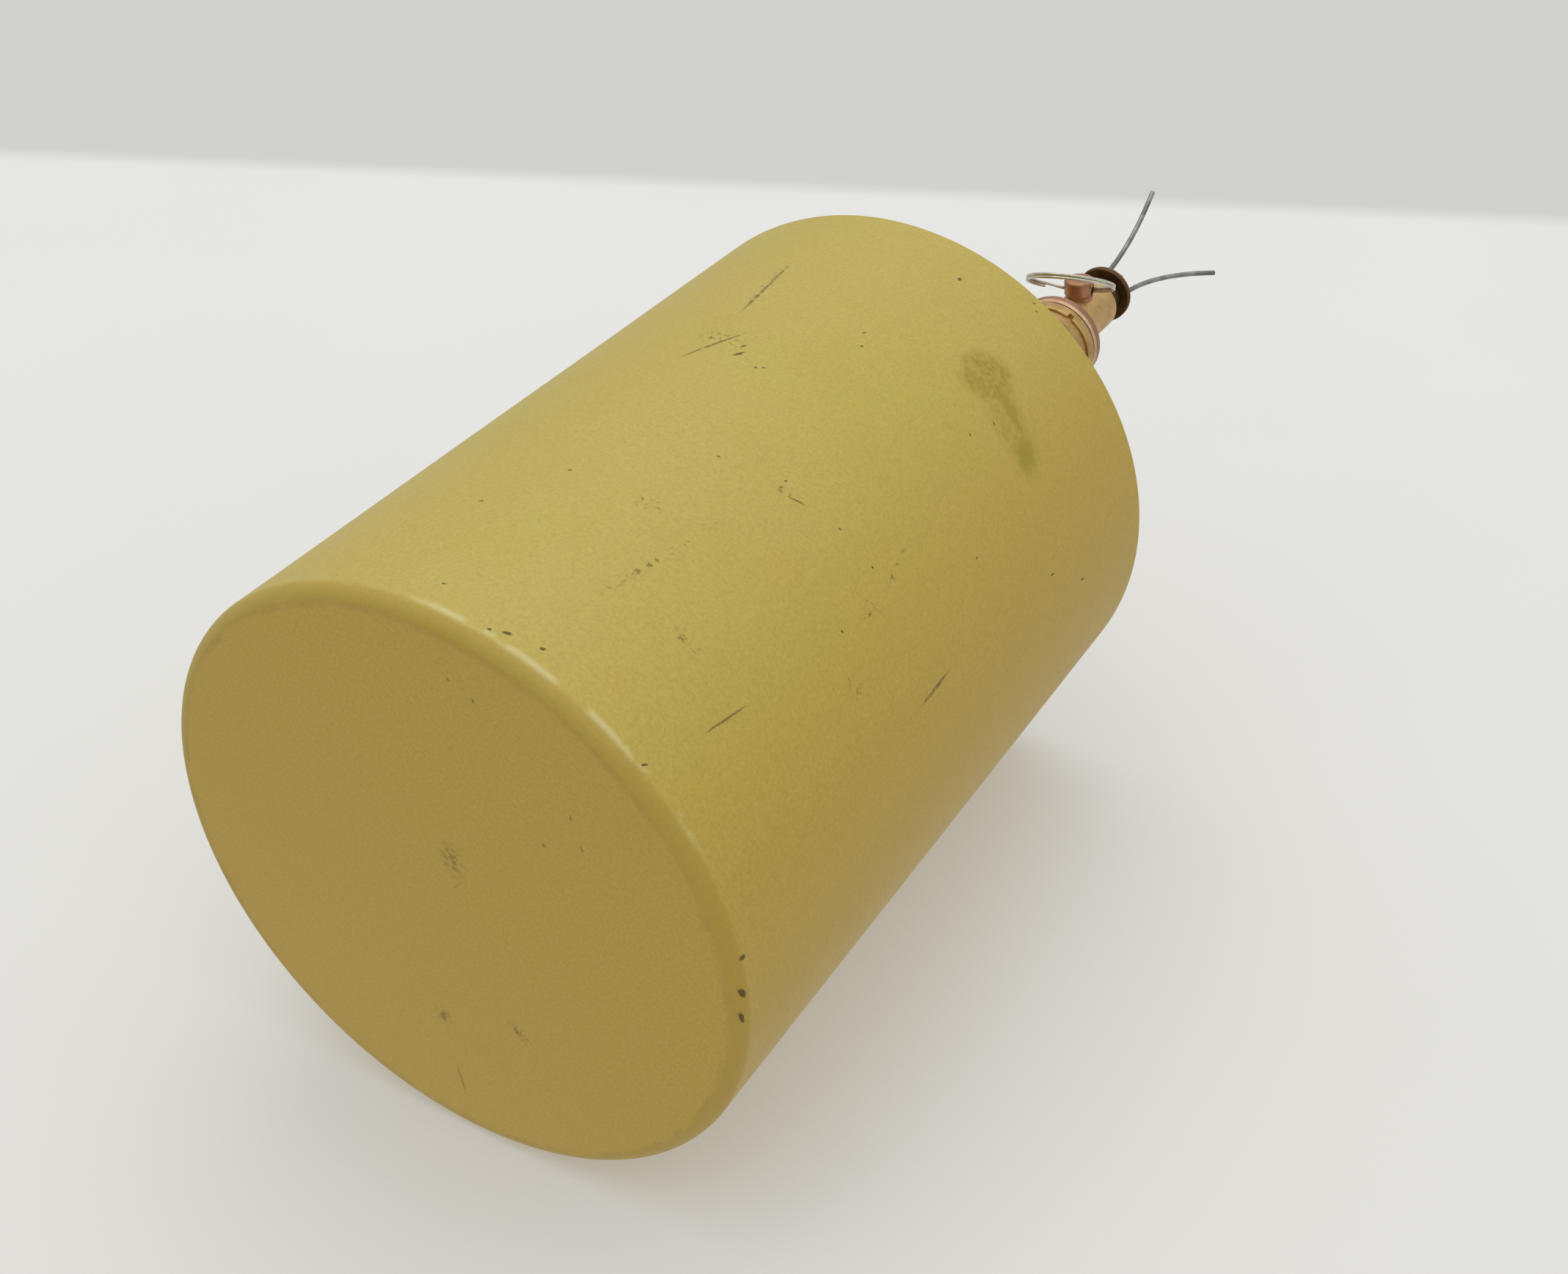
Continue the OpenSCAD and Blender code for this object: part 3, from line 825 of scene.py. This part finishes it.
def split_ring():
    """Split ring: one wire wound twice, with a short cross-over, its ends cut square."""
    middle = centre_of("pull_ring")
    out = (middle - ring_pivot).normalized()
    ring_r = (middle - ring_pivot).length
    normal = out.cross(ring_axis).normalized()
    cross = math.radians(24)
    start = math.radians(205)
    path = []
    for k in range(RING_STEPS + 1):
        turn = cross + (2 * TURN - 2 * cross) * k / RING_STEPS
        blend = min(1.0, max(0.0, (turn - TURN + cross) / (2 * cross)))
        side = 2 * blend * blend * (3 - 2 * blend) - 1
        a = start + turn
        path.append(middle + (out * math.cos(a) + ring_axis * math.sin(a)) * ring_r
                    + normal * side * RING_WIRE / 2)
    verts, faces = sweep(path, RING_WIRE / 2, sides=16)
    piece = make_mesh("wound_ring", verts, faces)
    finished(piece, "pull_ring", "ring", bright_wire)


can_shell()
top_plate()
neck_parts()
collar()
barrel()
head()
prongs()
stud()
split_ring()

# CAD nodes that keep their own shape
KEPT = {"top_solder": solder, "bush_seal": fibre, "inner_washer": inner_steel,
        "inner_nut": brass, "joint_gasket": rubber}
for node, material in KEPT.items():
    part = frame["nodes"][node]
    part.data.materials.clear()
    part.data.materials.append(material)


# ---------- camera, floors and light ----------

# the can lies on its side for the camera: the way up from its floor, and along that floor
UP = Vector((-0.687, -0.726, 0)).normalized()
ALONG = Vector((0, 0, 1))
ACROSS = UP.cross(ALONG)
# the cloth turns up into the backdrop along a straight fold, square to this floor direction
FOLD = (0.911, 0.413)
FLOOR_HALF = 1.2
FLOOR_FADE = (1.15, 0.7)
CLOTH_DARK = (0.59, 0.59, 0.58)
CLOTH_LIGHT = (0.63, 0.63, 0.62)
CLOTH_GLOW = (1.0, 1.0, 0.98, 1)
GLOW_STRENGTH = 0.19


def floor_material(name, slant, fade):
    """Pale cloth-like floor, seen from above only, that fades out along the slant direction
    and at its sides, between two distances."""
    n = Nodes(name)
    weave = n.noise(0.0008, detail=2, rough=0.6)
    clouds = n.noise(0.12, detail=3)
    colour = n.mix(clouds, CLOTH_DARK, CLOTH_LIGHT)
    n.shader.inputs["Emission Color"].default_value = CLOTH_GLOW
    n.shader.inputs["Emission Strength"].default_value = GLOW_STRENGTH
    n.bump(weave, 0.05 * MM, 0.25)
    n.finish(colour, n.math("ADD", n.math("MULTIPLY", weave, 0.1), 0.85), specular=0.1)
    x, y, _ = n.parts(n.place)
    away = n.math("ADD", n.math("MULTIPLY", x, slant[0]), n.math("MULTIPLY", y, slant[1]))
    far = n.math("SQRT", n.math("ADD", n.math("POWER", x, 2), n.math("POWER", y, 2)))
    shown = n.math("MULTIPLY", n.ramp(away, *fade), n.ramp(far, *FLOOR_FADE))
    front = n.math("SUBTRACT", 1.0, n.node("ShaderNodeNewGeometry").outputs["Backfacing"])
    clear = n.node("ShaderNodeBsdfTransparent")
    both = n.node("ShaderNodeMixShader")
    n.put(both.inputs[0], n.math("MULTIPLY", shown, front))
    n.put(both.inputs[1], clear.outputs[0])
    n.put(both.inputs[2], n.shader.outputs[0])
    n.put(n.tree.nodes["Material Output"].inputs["Surface"], both.outputs[0])
    return n.material


def floor(name, place, material):
    """A flat floor that takes shadows but adds none of its own."""
    h = FLOOR_HALF
    corners = [Vector((-h, -h, 0)), Vector((h, -h, 0)), Vector((h, h, 0)), Vector((-h, h, 0))]
    piece = make_mesh(name, corners, [(0, 1, 2, 3)])
    piece.matrix_world = place
    piece.data.materials.append(material)
    piece.visible_shadow = False
    piece.visible_diffuse = False
    piece.visible_glossy = False


lying = Matrix.Translation(-UP * can_r) @ Matrix((ALONG, ACROSS, UP)).transposed().to_4x4()
floor("cloth_floor", lying, floor_material("cloth", FOLD, (0.380, 0.366)))
floor("table_floor", Matrix.Identity(4), floor_material("table", (1, 0), (1.2, 1.1)))


# the sky's colour below, at the horizon and overhead, and what the camera sees behind all
SKY_BELOW = (0.64, 0.63, 0.60, 1)
SKY_HORIZON = (0.44, 0.44, 0.43, 1)
SKY_OVERHEAD = (1.10, 1.10, 1.08, 1)
BACKDROP = (0.635, 0.635, 0.615, 1)


def studio_light():
    """Soft overhead light that falls off towards the floor, with the floor's own glow below.
    The camera sees an even pale backdrop."""
    world = bpy.data.worlds.new("studio")
    world.use_nodes = True
    tree = world.node_tree
    back = tree.nodes["Background"]
    place = tree.nodes.new("ShaderNodeTexCoord")
    height = tree.nodes.new("ShaderNodeVectorMath")
    height.operation = "DOT_PRODUCT"
    height.inputs[1].default_value = UP
    ramp = tree.nodes.new("ShaderNodeValToRGB")
    scale = tree.nodes.new("ShaderNodeMapRange")
    scale.inputs[1].default_value = -1
    steps = ramp.color_ramp.elements
    steps[0].position = 0.47
    steps[0].color = SKY_BELOW
    steps[1].position = 1.0
    steps[1].color = SKY_OVERHEAD
    horizon = steps.new(0.53)
    horizon.color = SKY_HORIZON
    seen = tree.nodes.new("ShaderNodeLightPath")
    both = tree.nodes.new("ShaderNodeMix")
    both.data_type = "RGBA"
    both.inputs[7].default_value = BACKDROP
    tree.links.new(place.outputs["Generated"], height.inputs[0])
    tree.links.new(height.outputs["Value"], scale.inputs[0])
    tree.links.new(scale.outputs[0], ramp.inputs[0])
    tree.links.new(ramp.outputs[0], both.inputs[6])
    tree.links.new(seen.outputs["Is Camera Ray"], both.inputs["Factor"])
    tree.links.new(both.outputs[2], back.inputs["Color"])
    bpy.context.scene.world = world


studio_light()


def area_light(name, direction, distance, size, power, colour):
    """Soft square light that points at the middle of the object."""
    light = bpy.data.lights.new(name, "AREA")
    light.size = size
    light.energy = power
    light.color = colour
    holder = bpy.data.objects.new(name, light)
    bpy.context.scene.collection.objects.link(holder)
    aim = (cad_low + cad_high) / 2
    holder.location = aim + direction.normalized() * distance
    holder.rotation_euler = (-direction).to_track_quat("-Z", "Y").to_euler()


KEY_AZ = math.radians(-150)
key_side = Vector((math.cos(KEY_AZ), math.sin(KEY_AZ), 0.35))
area_light("key", key_side, 1.0, 0.7, 1.5, (1.0, 1.0, 0.98))

camera = bpy.data.cameras.new("camera")
camera.lens = 46.2
camera.sensor_width = 36
camera.sensor_fit = "HORIZONTAL"
camera.clip_start = 0.01
viewer = bpy.data.objects.new("camera", camera)
viewer.location = (-0.02848, -0.24972, -0.15872)
viewer.rotation_euler = [math.radians(a) for a in (144.03, -30.50, -43.41)]
bpy.context.scene.collection.objects.link(viewer)
bpy.context.scene.camera = viewer
bpy.context.scene.view_settings.view_transform = "Standard"
